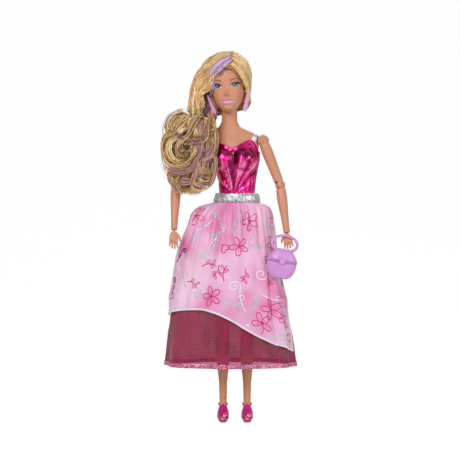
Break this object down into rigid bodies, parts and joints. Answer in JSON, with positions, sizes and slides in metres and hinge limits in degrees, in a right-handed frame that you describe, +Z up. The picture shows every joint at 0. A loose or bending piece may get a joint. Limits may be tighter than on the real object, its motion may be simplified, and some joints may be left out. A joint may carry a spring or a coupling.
{
  "type": "fashion doll",
  "caption": "Jointed fashion doll with long curled hair, party dress of foil bodice, printed satin overskirt and net petticoat, high-heeled shoes and an opening handbag.",
  "frame": {"origin": "centre of the bounding box's base, where the shoes stand", "axes": "+Z up along the doll's height; the doll faces -Y and its own left is at +X"},
  "size_m": [0.1062, 0.0621, 0.2903],
  "materials": {
    "skin_plastic": "satin",
    "head_vinyl": "satin",
    "steel_pin": "brushed",
    "blond_hair": "soft sheen",
    "lilac_hair": "soft sheen",
    "foil_fabric": "metallic foil",
    "glitter_fabric": "glitter",
    "printed_satin": "satin, printed",
    "net_fabric": "sheer net",
    "lilac_plastic": "gloss",
    "earring_plastic": "gloss",
    "shoe_plastic": "gloss",
    "hook_tape": "matt"
  },
  "bodies": {
    "torso": {"torso_front": "skin_plastic", "torso_back": "skin_plastic", "hip_rod": "steel_pin", "bodice": "foil_fabric", "strap_right": "glitter_fabric", "strap_left": "glitter_fabric", "back_fastener": "hook_tape", "belt": "glitter_fabric", "overskirt": "printed_satin", "petticoat": "net_fabric", "petticoat_trim": "glitter_fabric", "hair_curls": "blond_hair"},
    "neck_swivel": {"neck_peg": "skin_plastic"},
    "head": {"head": "head_vinyl", "hair_crown": "blond_hair", "hair_wave": "blond_hair", "hair_back": "blond_hair", "hair_streak": "lilac_hair", "earring_right": "earring_plastic", "earring_left": "earring_plastic"},
    "shoulder_right": {"shoulder_hub_right": "skin_plastic"},
    "upper_arm_right": {"upper_arm_right": "skin_plastic", "shoulder_pin_right": "skin_plastic", "elbow_pin_right": "skin_plastic"},
    "forearm_right": {"forearm_right": "skin_plastic"},
    "hand_right": {"hand_right": "head_vinyl"},
    "hip_right": {"hip_hub_right": "skin_plastic"},
    "thigh_right": {"thigh_right": "skin_plastic", "hip_pin_right": "skin_plastic", "knee_pin_right": "skin_plastic"},
    "shin_right": {"shin_right": "skin_plastic", "shoe_right": "shoe_plastic"},
    "shoulder_left": {"shoulder_hub_left": "skin_plastic"},
    "upper_arm_left": {"upper_arm_left": "skin_plastic", "shoulder_pin_left": "skin_plastic", "elbow_pin_left": "skin_plastic"},
    "forearm_left": {"forearm_left": "skin_plastic"},
    "hand_left": {"hand_left": "head_vinyl"},
    "hip_left": {"hip_hub_left": "skin_plastic"},
    "thigh_left": {"thigh_left": "skin_plastic", "hip_pin_left": "skin_plastic", "knee_pin_left": "skin_plastic"},
    "shin_left": {"shin_left": "skin_plastic", "shoe_left": "shoe_plastic"},
    "bag_handle": {"bag_handle": "lilac_plastic"},
    "bag_lid": {"bag_lid": "lilac_plastic", "handle_pin_right": "steel_pin", "handle_pin_left": "steel_pin", "bag_stud_right": "lilac_plastic", "bag_stud_left": "lilac_plastic", "bag_clasp": "lilac_plastic", "bag_hinge_pin": "steel_pin"},
    "bag_bowl": {"bag_bowl": "lilac_plastic"}
  },
  "joints": [
    {"name": "head_turn", "type": "hinge", "parent": "torso", "child": "neck_swivel", "pos_m": [-0.0024, 0, 0.2525], "axis": [0, 0, 1], "range_deg": [-40, 40]},
    {"name": "head_nod", "type": "hinge", "parent": "neck_swivel", "child": "head", "pos_m": [-0.0024, 0, 0.2525], "axis": [0.9898, -0.1098, 0.0913], "range_deg": [-8, 8]},
    {"name": "shoulder_swing_right", "type": "hinge", "parent": "torso", "child": "shoulder_right", "pos_m": [-0.0269, 0.00404, 0.22105], "axis": [-1, 0, 0], "range_deg": [-30, 120], "deforming": ["hair_curls"]},
    {"name": "shoulder_raise_right", "type": "hinge", "parent": "shoulder_right", "child": "upper_arm_right", "pos_m": [-0.0269, 0.00404, 0.22105], "axis": [0, 0.995, -0.0998], "range_deg": [-12, 65]},
    {"name": "elbow_bend_right", "type": "hinge", "parent": "upper_arm_right", "child": "forearm_right", "pos_m": [-0.04452, 0.0007, 0.18778], "axis": [-0.3775, -0.88, 0.2882], "range_deg": [-28, 60]},
    {"name": "wrist_twist_right", "type": "hinge", "parent": "forearm_right", "child": "hand_right", "pos_m": [-0.04588, -0.01087, 0.15066], "axis": [0.0348, 0.2975, 0.9541], "range_deg": [-60, 60]},
    {"name": "shoulder_swing_left", "type": "hinge", "parent": "torso", "child": "shoulder_left", "pos_m": [0.0239, -0.00404, 0.22105], "axis": [-1, 0, 0], "range_deg": [-30, 170]},
    {"name": "shoulder_raise_left", "type": "hinge", "parent": "shoulder_left", "child": "upper_arm_left", "pos_m": [0.0239, -0.00404, 0.22105], "axis": [0, -0.996, 0.0899], "range_deg": [-12, 65]},
    {"name": "elbow_bend_left", "type": "hinge", "parent": "upper_arm_left", "child": "forearm_left", "pos_m": [0.0375, -0.00721, 0.18592], "axis": [-0.4963, 0.8262, -0.2667], "range_deg": [-16, 75]},
    {"name": "wrist_twist_left", "type": "hinge", "parent": "forearm_left", "child": "hand_left", "pos_m": [0.04245, -0.01633, 0.14844], "axis": [-0.1274, 0.2345, 0.9637], "range_deg": [-40, 40]},
    {"name": "hip_swing_right", "type": "hinge", "parent": "torso", "child": "hip_right", "pos_m": [-0.0075, 0, 0.158], "axis": [-1, 0, 0], "range_deg": [-15, 75], "deforming": ["overskirt", "petticoat", "petticoat_trim"]},
    {"name": "hip_spread_right", "type": "hinge", "parent": "hip_right", "child": "thigh_right", "pos_m": [-0.0075, 0, 0.158], "axis": [0, 1, 0], "range_deg": [0, 25]},
    {"name": "knee_bend_right", "type": "hinge", "parent": "thigh_right", "child": "shin_right", "pos_m": [-0.0075, 0, 0.071], "axis": [1, 0, 0], "range_deg": [0, 100]},
    {"name": "hip_swing_left", "type": "hinge", "parent": "torso", "child": "hip_left", "pos_m": [0.0115, 0, 0.158], "axis": [-1, 0, 0], "range_deg": [-15, 75]},
    {"name": "hip_spread_left", "type": "hinge", "parent": "hip_left", "child": "thigh_left", "pos_m": [0.0115, 0, 0.158], "axis": [0, -1, 0], "range_deg": [0, 25]},
    {"name": "knee_bend_left", "type": "hinge", "parent": "thigh_left", "child": "shin_left", "pos_m": [0.0115, 0, 0.071], "axis": [1, 0, 0], "range_deg": [0, 100]},
    {"name": "bag_handle_swing", "type": "hinge", "parent": "hand_left", "child": "bag_handle", "pos_m": [0.04165, -0.02163, 0.14653], "axis": [0, 1, 0], "range_deg": [-20, 3]},
    {"name": "bag_swing", "type": "hinge", "parent": "bag_handle", "child": "bag_lid", "pos_m": [0.03989, -0.02163, 0.13539], "axis": [0.9877, 0, -0.1564], "range_deg": [-8, 25]},
    {"name": "bag_open", "type": "hinge", "parent": "bag_lid", "child": "bag_bowl", "pos_m": [0.03857, -0.01373, 0.12709], "axis": [0.9877, 0, -0.1564], "range_deg": [0, 75]}
  ]
}
